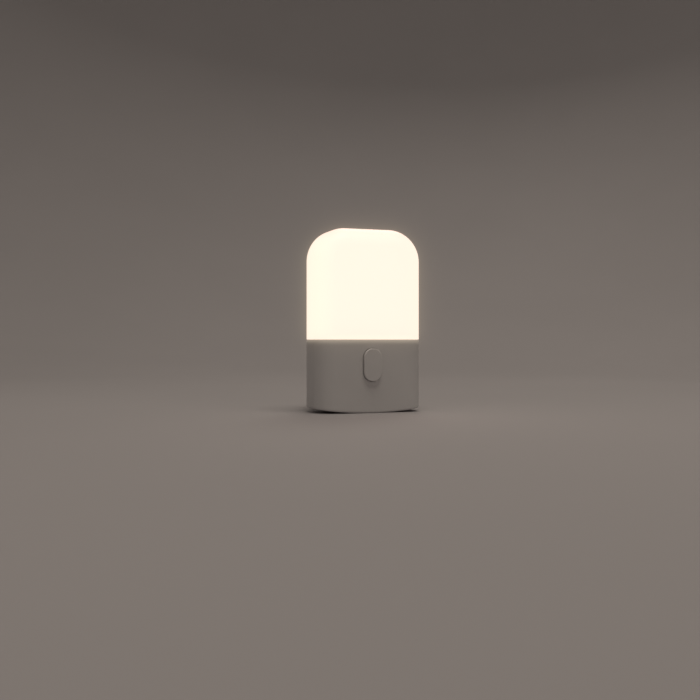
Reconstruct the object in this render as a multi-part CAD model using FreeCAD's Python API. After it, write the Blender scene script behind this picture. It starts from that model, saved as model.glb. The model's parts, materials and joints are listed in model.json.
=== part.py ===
import FreeCAD, Part
import math
import os

# A plug-in night light for a two-pin wall socket, in millimetres.
# X runs to the right as seen from the room, +Y runs into the wall, Z is up.
# The origin is the centre of the plug's face, midway between the two pins.

# Body, seen from the room
BODY_WIDTH = 50.0
BODY_TOP = 68.5
SEAM_Z = 19.0
BODY_BOTTOM = -13.5
BOTTOM_RISE = 2.0
TOP_CORNER = 14.5
FRONT_Y = -39.5
BACK_Y = -21.0
FRONT_ROUND = 8.0
BACK_ROUND = 1.0
BOTTOM_ROUND = 0.8
SEAM_ROUND = 0.2
WALL = 1.8
FIT = 0.1
LAP = 0.5

# Light shelf of the front housing, and the diffuser's tongue that stands on it
SHELF_LOW = 16.1
SHELF_TOP = 17.2
SHELF_BACK = -24.8
TONGUE = 1.2
TONGUE_BACK = -25.0
TONGUE_LAP = 1.0
BAND_ROOT = 0.8
BAND_HEIGHT = 1.6
SHELF_ROOT = 0.3
NOTCH_HALF = 4.0
NOTCH_DEPTH = 2.6
HOOK_ROOT = 0.4
HOOK_LENGTH = 5.0
HOOK_HEIGHT = 0.9
HOOK_REACH = 0.6
HOOK_Y = -29.5

# Push button
BUTTON_Z = 7.8
BUTTON_WIDTH = 8.3
BUTTON_HEIGHT = 14.5
BUTTON_PROUD = 1.5
BUTTON_GAP = 0.25
BUTTON_RIM = 0.4
FLANGE = 0.8
FLANGE_THICK = 1.0
COLLAR_GAP = 0.2
COLLAR_WALL = 1.0
COLLAR_BACK = -35.2
COLLAR_ROOT = 0.3
BUTTON_BOSS_R = 2.2

# Back cover and its plug post
COVER_THICK = 2.0
RIM_THICK = 1.1
RIM_BACK = -24.6
POST_WIDTH = 35.3
POST_HEIGHT = 13.7
POST_FLAT = 26.1
POST_WALL = 1.6
POST_END = 3.5
POST_CORNER = 1.6
PANEL_WIDTH = 26.0
PANEL_LOW = 28.0
PANEL_TOP = 46.0
PANEL_DEPTH = 0.3
PANEL_CORNER = 2.0
POST_RIM = 0.5
LED_POST_R = 2.2

# Arms at the top of the back cover, with the nubs that catch in the diffuser
ARM_SPREAD = 0.6
ARM_HALF = 2.0
ARM_FRONT = -27.8
ARM_THICK = 1.4
CATCH_SPAN = (-27.4, -26.4)
CATCH_ROOT = 0.3
CATCH_RISE = 0.6

# Contact pins
PIN_R = 2.0
PIN_LENGTH = 19.0
PIN_ROOT_PITCH = 18.6
PIN_TIP_PITCH = 17.5
SLEEVE_R = 1.8
SLEEVE_LENGTH = 10.0
NECK_R = 1.4
PIN_COLLAR_R = 3.0
PIN_COLLAR_THICK = 2.0
LEAN_PLAY = 0.1
ROOT_PLAY = 0.2
SHANK_R = 1.8
SPIGOT_R = 1.2
SPIGOT_LENGTH = 1.4
RETAINER_THICK = 2.5
RETAINER_BOSS_R = 2.4
RETAINER_PILOT_END = -1.2
TAG_R = 2.4
TAG_THICK = 0.5
TAG_HALF = 1.1
TAG_LENGTH = 4.4

# Screws: (shank radius, head radius, head height)
COVER_SCREW = (1.1, 2.0, 1.1)
BOARD_SCREW = (0.95, 1.8, 1.0)
COVER_SCREW_LENGTH = 9.0
RETAINER_SCREW_LENGTH = 6.4
DRIVER_SCREW_LENGTH = 6.0
LED_SCREW_LENGTH = 5.0
SCREW_PLAY = 0.05
SCREW_CLEARANCE = 0.2
HEAD_CLEARANCE = 0.3
HEAD_SINK = 0.1
TIP_R = 0.2
HEAD_ROUND = 0.35
CROSS_REACH = 0.62
CROSS_HALF = 0.16
CROSS_DEPTH = 0.6
COVER_PILOT = 9.5
BOARD_PILOT = 5.0
COVER_SCREW_X = 20.0
COVER_SCREW_Z = -7.6
BOSS_R = 2.7
BOSS_PLAY = 0.3
BOSS_ROOT = 0.4

# Driver board, upright behind the button
BOARD_THICK = 1.6
BOARD_FRONT = -31.0
BOARD_WIDTH = 33.6
BOARD_LOW = -9.6
BOARD_TOP = 14.4
BOARD_CORNER = 1.0
BOARD_HOLE_PLAY = 0.15
BOARD_POST_R = 2.2
BOARD_POST_X = 13.2
BOARD_POST_Z = 11.2
REST_R = 1.54
REST_X = 12.0
REST_Z = -7.4

# Push switch
SWITCH_SIZE = 6.0
SWITCH_DEPTH = 3.2
SWITCH_CAVITY_R = 2.3
SWITCH_CAVITY_DEPTH = 2.2
PLUNGER_R = 1.7
PLUNGER_PLAY = 0.12
DOME_R = 2.2
DOME_RISE = 0.7
DOME_THICK = 0.1
TRAVEL = 0.6
BUTTON_SLACK = 0.8
DOME_SLACK = 0.05
SWITCH_CORNER = 0.4
FRAME_THICK = 0.25
TERMINAL_Z = 2.2
TERMINAL_HALF = 0.35
TERMINAL_THICK = 0.25
TERMINAL_DROP = 1.2
TERMINAL_REACH = 1.1

# Components on the driver board's back
SEAT_GAP = 0.1
WIRE_TAIL = 0.8
DROPPER_X = (-16.0, -3.0)
DROPPER_Z = (-9.0, 0.0)
DROPPER_DEPTH = 5.0
DROPPER_ROUND = 0.6
DROPPER_WIRE_Z = -0.8
CAN_R = 2.5
CAN_START = 4.2
CAN_LENGTH = 11.0
CAN_ROUND = 0.4
CAN_GROOVE = (1.6, 0.15, 0.5)
CAN_WIRE = 0.8
FUSE_RISE = 2.0
FUSE_LENGTH = 7.0
FUSE_R = 1.15
FUSE_END = (1.4, 1.8, 0.5)
FUSE_WIRE = 3.0
FUSE_SLEEVE = (8.0, 1.7, 1.45)
RECTIFIER_SIZE = (4.7, 2.3, 3.9)
CHIP_SIZE = (4.9, 1.5, 3.4)
RECTIFIER_PLACE = (6.4, 7.6)
CHIP_PLACE = (6.6, -0.2)
CHIP_LEGS = 4
CHIP_GAP = 0.15
CHIP_EDGE = 0.2
LEG_HALF = 0.2
LEG_THICK = 0.2
LEG_SHOULDER = (-0.3, 0.6)
LEG_DROP = (0.35, 0.6)
LEG_FOOT = (0.35, 1.0)
RESISTOR_X = (-0.8, 1.2)
RESISTOR_HALF = 0.6
RESISTOR_THICK = 0.5
RESISTOR_FIRST_Z = -1.6
RESISTOR_PITCH = 2.5
RESISTOR_COUNT = 5

# LED board behind the diffuser
LED_BOARD_FRONT = -27.6
LED_BOARD_LOW = 20.8
LED_BOARD_TOP = 63.6
LED_BOARD_WIDTH = 40.0
LED_BOARD_CORNER = 9.0
LED_SCREW_LOW = 29.0
LED_SCREW_TOP = 59.0
LED_COLUMN_X = 10.0
LED_FIRST_Z = 27.0
LED_PITCH = 10.0
LED_ROWS = 4
LED_SIZE = (3.5, 0.8, 2.8)
LED_WELL = (1.2, 0.9, 0.3)
WINDOW_PLAY = 0.3
REFLECTOR_THICK = 0.3

# Leads
MAINS_LEAD_R = 0.8
LED_LEAD_R = 0.6
LED_LEAD_X = 1.7
LED_LEAD_LOW = 12.4
LED_LEAD_DEPTH = -24.9
LED_LEAD_TOP = 23.4
WIRE_R = 0.3
WIRE_HOLE_R = 0.45
MAINS_LEAD_Z = 3.2
MAINS_LEAD_STEP = 5.0
MAINS_LEAD_DIP = 1.0
LIVE_END = (-9.6, 3.3)
NEUTRAL_END = (12.2, 4.0)
CORNER_SHARE = 0.45

# Values worked out from the ones above
HALF_WIDTH = BODY_WIDTH / 2
INNER_FRONT = FRONT_Y + WALL
COVER_FRONT = BACK_Y - COVER_THICK
BOARD_BACK = BOARD_FRONT + BOARD_THICK
LED_BOARD_BACK = LED_BOARD_FRONT + BOARD_THICK
PIN_LEAN = math.degrees(math.atan((PIN_ROOT_PITCH - PIN_TIP_PITCH) / 2 / PIN_LENGTH))
FLANGE_BACK = INNER_FRONT + FIT + FLANGE_THICK
SWITCH_FRONT = BOARD_FRONT - SWITCH_DEPTH
CAVITY_FLOOR = SWITCH_FRONT + SWITCH_CAVITY_DEPTH
PLUNGER_BACK = CAVITY_FLOOR - DOME_RISE - DOME_SLACK
PLUNGER_FRONT = SWITCH_FRONT - TRAVEL - BUTTON_SLACK
RETAINER_FRONT = -POST_END - PIN_COLLAR_THICK
RETAINER_BACK = RETAINER_FRONT - RETAINER_THICK
CEILING = BODY_TOP - WALL
ARM_X = (HALF_WIDTH - TOP_CORNER) * ARM_SPREAD
BOW_R = (HALF_WIDTH ** 2 + BOTTOM_RISE ** 2) / (2 * BOTTOM_RISE)
FAR = 200.0
NEAR = 1e-4


def point(x, y, z):
    """A point of the part's frame."""
    return FreeCAD.Vector(x, y, z)


def box(x, y, z):
    """A box between the low and high limits given for each axis."""
    size = (x[1] - x[0], y[1] - y[0], z[1] - z[0])
    return Part.makeBox(size[0], size[1], size[2], point(x[0], y[0], z[0]))


def rod(radius, x, y, z):
    """A cylinder along Y at (x, z), between the two y limits."""
    return Part.makeCylinder(radius, y[1] - y[0], point(x, y[0], z), point(0, 1, 0))


def joined(shapes):
    """Shapes fused into one solid, with the seams between flush faces removed."""
    return shapes[0].fuse(shapes[1:]).removeSplitter()


def mirrored(shape):
    """The shape's twin on the other side of X = 0."""
    return shape.mirror(point(0, 0, 0), point(1, 0, 0))


def round_edges(shape, radius, wanted):
    """Rounds each edge for which wanted(edge) is true."""
    return shape.makeFillet(radius, [edge for edge in shape.Edges if wanted(edge)])


def at_y(level):
    """A test for edges that lie wholly in the plane Y = level."""
    return lambda edge: all(abs(end.Y - level) < NEAR for end in edge.Vertexes)


def at_z(level):
    """A test for edges that lie wholly in the plane Z = level."""
    return lambda edge: all(abs(end.Z - level) < NEAR for end in edge.Vertexes)


def upright(depth):
    """A test for edges whose reach along Y is depth."""
    return lambda edge: abs(edge.BoundBox.YLength - depth) < NEAR


def polygon(points, y):
    """A flat wire at depth y through the (x, z) points."""
    corners = [point(x, y, z) for x, z in points]
    return Part.makePolygon(corners + corners[:1])


def pill(width, height, y):
    """An upright pill at the button's place, between the two y limits."""
    radius = width / 2
    straight = height / 2 - radius
    middle = box((-radius, radius), y, (BUTTON_Z - straight, BUTTON_Z + straight))
    ends = [rod(radius, 0, y, BUTTON_Z + side * straight) for side in (-1, 1)]
    return joined([middle] + ends)


def arched_block(inset, back):
    """The body's rounded block, with every outer face moved in by inset, as far as depth back."""
    half = HALF_WIDTH - inset
    top = BODY_TOP - inset
    corner = TOP_CORNER - inset
    front = FRONT_Y + inset
    foot = BODY_BOTTOM - TOP_CORNER
    bend = corner * (1 - math.cos(math.radians(45)))
    left_low = point(-half, front, foot)
    left_top = point(-half, front, top - corner)
    top_left = point(-half + corner, front, top)
    top_right = point(half - corner, front, top)
    right_top = point(half, front, top - corner)
    right_low = point(half, front, foot)
    edges = [
        Part.makeLine(left_low, left_top),
        Part.Arc(left_top, point(-half + bend, front, top - bend), top_left).toShape(),
        Part.makeLine(top_left, top_right),
        Part.Arc(top_right, point(half - bend, front, top - bend), right_top).toShape(),
        Part.makeLine(right_top, right_low),
        Part.makeLine(right_low, left_low),
    ]
    block = Part.Face(Part.Wire(edges)).extrude(point(0, back - front, 0))
    on_front = at_y(front)
    at_foot = at_z(foot)
    block = round_edges(block, FRONT_ROUND - inset, lambda edge: on_front(edge) and not at_foot(edge))
    return block.common(above_bottom(inset))


def above_bottom(inset):
    """All the space above the body's bowed bottom, moved up by inset."""
    drum = rod(BOW_R - inset, 0, (-FAR, FAR), BODY_BOTTOM + BOW_R)
    return drum.common(box((-FAR, FAR), (-FAR, FAR), (-FAR, BODY_BOTTOM + BOW_R)))


def ring(outer_inset, inner_inset, back):
    """A wall that follows the body's outline, between two insets."""
    return arched_block(outer_inset, back).cut(arched_block(inner_inset, back + 1))


def slab(shape, y, z):
    """The piece of a shape between two y limits and two z limits."""
    return shape.common(box((-FAR, FAR), y, z))


def outer_body():
    """The whole body's outside, with its back and bottom edges rounded."""
    body = arched_block(0, BACK_Y)
    on_back = at_y(BACK_Y)
    body = round_edges(body, BACK_ROUND, lambda edge: on_back(edge) and edge.BoundBox.ZMax > 0)
    centre_z = BODY_BOTTOM + BOW_R

    def on_bottom(edge):
        middle = edge.valueAt((edge.FirstParameter + edge.LastParameter) / 2)
        reaches = [math.hypot(end.X, end.Z - centre_z) for end in edge.Vertexes]
        reaches.append(math.hypot(middle.x, middle.z - centre_z))
        return all(abs(reach - BOW_R) < 10 * NEAR for reach in reaches)

    return round_edges(body, BOTTOM_ROUND, on_bottom)


def screw(measures, x, y_seat, z, length, way):
    """A self-tapping screw whose head sits on y_seat and whose shank goes way (+1 or -1) along Y."""
    shank_r, head_r, head_height = measures
    shank = Part.makeCylinder(shank_r, length - shank_r, point(x, y_seat, z), point(0, way, 0))
    tip_start = point(x, y_seat + way * (length - shank_r), z)
    tip = Part.makeCone(shank_r, TIP_R, shank_r, tip_start, point(0, way, 0))
    head = Part.makeCylinder(head_r, head_height, point(x, y_seat, z), point(0, -way, 0))
    top = y_seat - way * head_height
    head = round_edges(head, head_height * HEAD_ROUND, at_y(top))
    reach = head_r * CROSS_REACH
    slot = head_r * CROSS_HALF
    depth = sorted((top + way * head_height * CROSS_DEPTH, top - way))
    cross = [
        box((x - reach, x + reach), depth, (z - slot, z + slot)),
        box((x - slot, x + slot), depth, (z - reach, z + reach)),
    ]
    return joined([head, shank, tip]).cut(joined(cross))


def rounded_route(points):
    """Straight runs through the points, joined by tangent arcs as large as the runs allow."""
    places = [point(*place) for place in points]
    edges = []
    start = places[0]
    for before, corner, after in zip(places, places[1:], places[2:]):
        into = corner - before
        out = after - corner
        turn = into.getAngle(out)
        cut_back = CORNER_SHARE * min(into.Length, out.Length)
        radius = cut_back / math.tan(turn / 2)
        into.normalize()
        out.normalize()
        arc_start = corner - into * cut_back
        arc_end = corner + out * cut_back
        inward = (out - into).normalize()
        middle = corner + inward * (radius / math.cos(turn / 2) - radius)
        edges.append(Part.makeLine(start, arc_start))
        edges.append(Part.Arc(arc_start, middle, arc_end).toShape())
        start = arc_end
    edges.append(Part.makeLine(start, places[-1]))
    return Part.Wire(edges)


def wire_along(points, radius):
    """A round wire of that radius along the rounded route."""
    route = rounded_route(points)
    way = point(*points[1]) - point(*points[0])
    section = Part.Wire(Part.makeCircle(radius, point(*points[0]), way))
    return route.makePipeShell([section], True, False)


def leaned(shape, side):
    """Turns a shape about the root of the pin on that side, so that its tip leans to the middle."""
    root = point(side * PIN_ROOT_PITCH / 2, 0, 0)
    turned = shape.copy()
    turned.rotate(root, point(0, 0, 1), side * PIN_LEAN)
    return turned


def diffuser():
    """Frosted cap: shell, tongue that stands in the front housing, hooks, and the cover's catches."""
    outer = slab(outer_body(), (-FAR, FAR), (SEAM_Z, FAR))
    outer = round_edges(outer, SEAM_ROUND, at_z(SEAM_Z))
    shell = outer.cut(arched_block(WALL, BACK_Y + 1))
    band = ring(WALL - BAND_ROOT, WALL + FIT + TONGUE, BACK_Y)
    band = slab(band, (-FAR, TONGUE_BACK), (SEAM_Z, SEAM_Z + BAND_HEIGHT))
    tongue = ring(WALL + FIT, WALL + FIT + TONGUE, BACK_Y)
    tongue = slab(tongue, (-FAR, TONGUE_BACK), (SHELF_TOP + FIT, SEAM_Z + TONGUE_LAP))
    shell = joined([shell, band, tongue])
    reach = HALF_WIDTH - WALL - FIT
    hook = box((reach - HOOK_ROOT, reach + HOOK_REACH), hook_span(0), hook_rise(0))
    shell = joined([shell, hook, mirrored(hook)])
    for side in (-1, 1):
        shell = shell.cut(catch(side, FIT))
    return shell


def hook_span(play):
    """The y limits of a hook, or of its pocket with play."""
    return (HOOK_Y - HOOK_LENGTH / 2 - play, HOOK_Y + HOOK_LENGTH / 2 + play)


def hook_rise(play):
    """The z limits of a hook, or of its pocket with play."""
    middle = (SHELF_TOP + SEAM_Z) / 2
    return (middle - HOOK_HEIGHT / 2 - play, middle + HOOK_HEIGHT / 2 + play)


def catch(side, play):
    """The nub on the back cover's top arm, or with play the pocket that takes it."""
    x = side * ARM_X
    across = (x - ARM_HALF - play, x + ARM_HALF + play)
    depth = (CATCH_SPAN[0] - play, CATCH_SPAN[1] + play)
    return box(across, depth, (CEILING - CATCH_ROOT, CEILING + CATCH_RISE + play))


def front_housing():
    """Opaque lower shell: button hole and collar, light shelf, screw bosses and board posts."""
    outer = slab(outer_body(), (-FAR, FAR), (-FAR, SEAM_Z))
    outer = round_edges(outer, SEAM_ROUND, at_z(SEAM_Z))
    shell = outer.cut(arched_block(WALL, BACK_Y + 1))
    shelf = slab(arched_block(WALL - SHELF_ROOT, BACK_Y), (-FAR, SHELF_BACK), (SHELF_LOW, SHELF_TOP))
    notch_depth = (SHELF_BACK - NOTCH_DEPTH, SHELF_BACK + 1)
    shelf = shelf.cut(box((-NOTCH_HALF, NOTCH_HALF), notch_depth, (SHELF_LOW - 1, SHELF_TOP + 1)))
    inner_width = BUTTON_WIDTH + 2 * (FLANGE + COLLAR_GAP)
    inner_height = BUTTON_HEIGHT + 2 * (FLANGE + COLLAR_GAP)
    collar_depth = (INNER_FRONT - COLLAR_ROOT, COLLAR_BACK)
    collar = pill(inner_width + 2 * COLLAR_WALL, inner_height + 2 * COLLAR_WALL, collar_depth)
    collar_hollow = pill(inner_width, inner_height, (INNER_FRONT, COLLAR_BACK + 1))
    posts = []
    for side in (-1, 1):
        posts.append(rod(BOSS_R, side * COVER_SCREW_X, (FRONT_Y, COVER_FRONT), COVER_SCREW_Z))
        posts.append(rod(BOARD_POST_R, side * BOARD_POST_X, (FRONT_Y, BOARD_FRONT), BOARD_POST_Z))
        posts.append(rod(REST_R, side * REST_X, (FRONT_Y, BOARD_FRONT), REST_Z))
    posts = joined(posts).common(arched_block(WALL - BOSS_ROOT, BACK_Y))
    shell = joined([shell, shelf, collar, posts]).cut(collar_hollow)
    hole_depth = (FRONT_Y - 1, INNER_FRONT + 1)
    holes = [pill(BUTTON_WIDTH + 2 * BUTTON_GAP, BUTTON_HEIGHT + 2 * BUTTON_GAP, hole_depth)]
    cover_pilot = (COVER_FRONT - COVER_PILOT, COVER_FRONT + 1)
    board_pilot = (BOARD_FRONT - BOARD_PILOT, BOARD_FRONT + 1)
    for side in (-1, 1):
        holes.append(rod(COVER_SCREW[0] + SCREW_PLAY, side * COVER_SCREW_X, cover_pilot, COVER_SCREW_Z))
        holes.append(rod(BOARD_SCREW[0] + SCREW_PLAY, side * BOARD_POST_X, board_pilot, BOARD_POST_Z))
    shell = shell.cut(holes)
    reach = HALF_WIDTH - WALL
    pocket = box((reach - 1, reach + HOOK_REACH), hook_span(FIT), hook_rise(FIT))
    return shell.cut([pocket, mirrored(pocket)])


def button_cap():
    """Push button: pill-shaped face with a rounded rim, flange that keeps it in, boss on the switch."""
    top = FRONT_Y - BUTTON_PROUD
    face = pill(BUTTON_WIDTH, BUTTON_HEIGHT, (top, FLANGE_BACK))
    face = round_edges(face, BUTTON_RIM, at_y(top))
    flange = pill(BUTTON_WIDTH + 2 * FLANGE, BUTTON_HEIGHT + 2 * FLANGE, (INNER_FRONT + FIT, FLANGE_BACK))
    boss = rod(BUTTON_BOSS_R, 0, (FLANGE_BACK - LAP, PLUNGER_FRONT), BUTTON_Z)
    return joined([face, flange, boss])


def post_profile(inset, y):
    """The plug post's section: flat top and bottom, sides that slope at 45 degrees to a short flat."""
    half_width = POST_WIDTH / 2 - inset
    half_height = POST_HEIGHT / 2 - inset
    slope = (POST_WIDTH - POST_FLAT) / 2
    shift = inset * (math.sqrt(2) - 1)
    half_flat = half_width - slope + inset - shift
    half_end = half_height - slope + inset - shift
    upper = [(half_width, half_end), (half_flat, half_height)]
    lower = [(half_flat, -half_height), (half_width, -half_end)]
    right = lower + upper
    return polygon(right + [(-x, -z) for x, z in right], y)


def post_block(inset, y):
    """A solid of the plug post's section between two y limits, with its eight long edges rounded."""
    block = Part.Face(post_profile(inset, y[0])).extrude(point(0, y[1] - y[0], 0))
    return round_edges(block, POST_CORNER, upright(y[1] - y[0]))


def back_cover():
    """Back plate set into both shells, with its rim, plug post, LED board posts and top arms."""
    plate = slab(arched_block(WALL + FIT, BACK_Y), (COVER_FRONT, BACK_Y), (-FAR, FAR))
    rim = ring(WALL + FIT, WALL + FIT + RIM_THICK, BACK_Y)
    rim = slab(rim, (RIM_BACK, COVER_FRONT + LAP), (-FAR, FAR))
    bosses = (RIM_BACK - 1, COVER_FRONT)
    rim = rim.cut([rod(BOSS_R + BOSS_PLAY, side * COVER_SCREW_X, bosses, COVER_SCREW_Z) for side in (-1, 1)])
    post = round_edges(post_block(0, (COVER_FRONT + LAP, 0)), POST_RIM, at_y(0))
    pieces = [plate, rim, post]
    for z in (LED_SCREW_LOW, LED_SCREW_TOP):
        pieces.append(rod(LED_POST_R, 0, (LED_BOARD_BACK, COVER_FRONT + LAP), z))
    for side in (-1, 1):
        across = (side * ARM_X - ARM_HALF, side * ARM_X + ARM_HALF)
        pieces.append(box(across, (ARM_FRONT, COVER_FRONT + LAP), (CEILING - ARM_THICK, CEILING - FIT)))
        pieces.append(catch(side, 0))
    hollow = post_block(POST_WALL, (COVER_FRONT - 1, -POST_END))
    boss = rod(RETAINER_BOSS_R, 0, (RETAINER_FRONT, -POST_END + LAP), 0)
    cover = joined([joined(pieces).cut(hollow), boss])
    return cover.cut(cover_holes() + [bare_panel()])


def cover_holes():
    """The back cover's holes: screw pilots, cover-screw holes with their recesses, and the pins' roots."""
    holes = [rod(COVER_SCREW[0] + SCREW_PLAY, 0, (RETAINER_FRONT - 1, RETAINER_PILOT_END), 0)]
    for z in (LED_SCREW_LOW, LED_SCREW_TOP):
        holes.append(rod(BOARD_SCREW[0] + SCREW_PLAY, 0, (LED_BOARD_BACK - 1, COVER_FRONT + 1), z))
    recess = (BACK_Y - COVER_SCREW[2] - HEAD_SINK, BACK_Y + 1)
    for side in (-1, 1):
        x = side * COVER_SCREW_X
        holes.append(rod(COVER_SCREW[0] + SCREW_CLEARANCE, x, (COVER_FRONT - 1, BACK_Y + 1), COVER_SCREW_Z))
        holes.append(rod(COVER_SCREW[1] + HEAD_CLEARANCE, x, recess, COVER_SCREW_Z))
        root = rod(SLEEVE_R + ROOT_PLAY, side * PIN_ROOT_PITCH / 2, (-POST_END - 1, 1), 0)
        holes.append(leaned(root, side))
    return holes


def bare_panel():
    """The shallow bare recess in the middle of the back cover's outside."""
    half = PANEL_WIDTH / 2
    panel = box((-half, half), (BACK_Y - PANEL_DEPTH, BACK_Y + 1), (PANEL_LOW, PANEL_TOP))
    return round_edges(panel, PANEL_CORNER, upright(PANEL_DEPTH + 1))


def pin(side):
    """Contact pin: bare rounded tip, neck under the sleeve, collar, shank and riveted spigot."""
    x = side * PIN_ROOT_PITCH / 2
    tip_y = PIN_LENGTH - PIN_R
    bare = rod(PIN_R, x, (SLEEVE_LENGTH, tip_y), 0)
    nose = Part.makeSphere(PIN_R, point(x, tip_y, 0))
    nose = nose.common(box((-FAR, FAR), (tip_y, FAR), (-FAR, FAR)))
    neck = rod(NECK_R, x, (-POST_END - LAP, SLEEVE_LENGTH + LAP), 0)
    collar = rod(PIN_COLLAR_R, x, (RETAINER_FRONT + LEAN_PLAY, -POST_END - LEAN_PLAY), 0)
    shank = rod(SHANK_R, x, (RETAINER_BACK, RETAINER_FRONT + LAP), 0)
    spigot = rod(SPIGOT_R, x, (RETAINER_BACK - SPIGOT_LENGTH, RETAINER_BACK + LAP), 0)
    return leaned(joined([bare, nose, neck, collar, shank, spigot]), side)


def pin_sleeve(side):
    """Insulating sleeve moulded round the pin's neck."""
    x = side * PIN_ROOT_PITCH / 2
    inner_end = -POST_END - LEAN_PLAY
    body = rod(SLEEVE_R, x, (inner_end, SLEEVE_LENGTH), 0)
    return leaned(body.cut(rod(NECK_R, x, (inner_end - 1, SLEEVE_LENGTH + 1), 0)), side)


def pin_tag(side):
    """Brass solder tag on the pin's spigot, with a tail that takes the lead."""
    x = side * PIN_ROOT_PITCH / 2
    depth = (RETAINER_BACK - LEAN_PLAY - TAG_THICK, RETAINER_BACK - LEAN_PLAY)
    washer = rod(TAG_R, x, depth, 0)
    tail = box((x - TAG_HALF, x + TAG_HALF), depth, (0, TAG_LENGTH))
    hole = rod(SPIGOT_R + SCREW_PLAY, x, (depth[0] - 1, depth[1] + 1), 0)
    return leaned(joined([washer, tail]).cut(hole), side)


def pin_retainer():
    """Plate screwed into the post, which holds the pins' collars against its end wall."""
    plate = post_block(POST_WALL + FIT, (RETAINER_BACK, RETAINER_FRONT))
    through = (RETAINER_BACK - 1, RETAINER_FRONT + 1)
    holes = [rod(COVER_SCREW[0] + SCREW_CLEARANCE, 0, through, 0)]
    for side in (-1, 1):
        holes.append(leaned(rod(SHANK_R + SCREW_PLAY, side * PIN_ROOT_PITCH / 2, through, 0), side))
    return plate.cut(holes)


def mains_lead(side, end_x, end_z):
    """Insulated lead from a solder tag, through the hollow post, to the driver board's back."""
    start_x = side * PIN_ROOT_PITCH / 2
    start_y = RETAINER_BACK - TAG_THICK - 2 * LEAN_PLAY
    places = [
        (start_x, start_y, MAINS_LEAD_Z),
        (start_x, start_y - MAINS_LEAD_STEP, MAINS_LEAD_Z),
        ((start_x + end_x) / 2, start_y - 2 * MAINS_LEAD_STEP, MAINS_LEAD_DIP),
        (end_x, start_y - 3 * MAINS_LEAD_STEP, end_z),
        (end_x, BOARD_BACK, end_z),
    ]
    return wire_along(places, MAINS_LEAD_R)


def led_lead(side):
    """Thin lead from the driver board, up through the shelf's notch, to the LED board's back."""
    x = side * LED_LEAD_X
    places = [
        (x, BOARD_BACK, LED_LEAD_LOW),
        (x, LED_LEAD_DEPTH, LED_LEAD_LOW),
        (x, LED_LEAD_DEPTH, LED_LEAD_TOP),
        (x, LED_BOARD_BACK, LED_LEAD_TOP),
    ]
    return wire_along(places, LED_LEAD_R)


def wire_holes():
    """The (x, z) places where component wires pass through the driver board."""
    return {
        "dropper_capacitor": [(-14.5, 1.2), (-4.5, 1.2)],
        "smoothing_capacitor": [(2.4, -5.2), (2.4, -7.2)],
        "fuse_resistor": [(-14.8, 6.9), (-4.2, 6.9)],
    }


def driver_board():
    """Board with its screw holes and the drilled holes of its wired components."""
    half = BOARD_WIDTH / 2
    board = box((-half, half), (BOARD_FRONT, BOARD_BACK), (BOARD_LOW, BOARD_TOP))
    board = round_edges(board, BOARD_CORNER, upright(BOARD_THICK))
    span = (BOARD_FRONT - 1, BOARD_BACK + 1)
    screw_r = BOARD_SCREW[0] + BOARD_HOLE_PLAY
    holes = [rod(screw_r, side * BOARD_POST_X, span, BOARD_POST_Z) for side in (-1, 1)]
    for places in wire_holes().values():
        holes.extend(rod(WIRE_HOLE_R, x, span, z) for x, z in places)
    return board.cut(holes)


def dropper_capacitor():
    """Box-shaped film capacitor that lies on the board's back, with its two wires."""
    low = BOARD_BACK + SEAT_GAP
    body = box(DROPPER_X, (low, low + DROPPER_DEPTH), DROPPER_Z)
    body = body.makeFillet(DROPPER_ROUND, body.Edges)
    middle = low + DROPPER_DEPTH / 2
    wires = []
    for x, z in wire_holes()["dropper_capacitor"]:
        places = [(x, middle, DROPPER_WIRE_Z), (x, middle, z), (x, BOARD_FRONT - WIRE_TAIL, z)]
        wires.append(wire_along(places, WIRE_R))
    return joined([body] + wires)


def smoothing_capacitor():
    """Round electrolytic capacitor that lies along X, with the groove that seals its can."""
    holes = wire_holes()["smoothing_capacitor"]
    y = BOARD_BACK + SEAT_GAP + CAN_R
    z = (holes[0][1] + holes[1][1]) / 2
    groove_x, groove_out, groove_r = CAN_GROOVE
    can = Part.makeCylinder(CAN_R, CAN_LENGTH, point(CAN_START, y, z), point(1, 0, 0))
    can = can.makeFillet(CAN_ROUND, can.Edges[:1] + can.Edges[-1:])
    groove = Part.makeTorus(CAN_R + groove_out, groove_r, point(CAN_START + groove_x, y, z), point(1, 0, 0))
    wires = []
    for x, wire_z in holes:
        places = [(CAN_START + CAN_WIRE, y, wire_z), (x, y, wire_z), (x, BOARD_FRONT - WIRE_TAIL, wire_z)]
        wires.append(wire_along(places, WIRE_R))
    return joined([can.cut(groove)] + wires)


def fuse_resistor():
    """Fusible resistor with swollen ends, and its wires bent down into the board."""
    (left_x, z), (right_x, _) = wire_holes()["fuse_resistor"]
    y = BOARD_BACK + FUSE_RISE
    middle = (left_x + right_x) / 2
    end_r, end_length, end_round = FUSE_END
    core = Part.makeCylinder(FUSE_R, FUSE_LENGTH, point(middle - FUSE_LENGTH / 2, y, z), point(1, 0, 0))
    pieces = [core]
    for x in (middle - FUSE_LENGTH / 2, middle + FUSE_LENGTH / 2 - end_length):
        end = Part.makeCylinder(end_r, end_length, point(x, y, z), point(1, 0, 0))
        pieces.append(end.makeFillet(end_round, end.Edges[:1] + end.Edges[-1:]))
    for x, inner in ((left_x, middle - FUSE_WIRE), (right_x, middle + FUSE_WIRE)):
        places = [(inner, y, z), (x, y, z), (x, BOARD_FRONT - WIRE_TAIL, z)]
        pieces.append(wire_along(places, WIRE_R))
    return joined(pieces)


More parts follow.
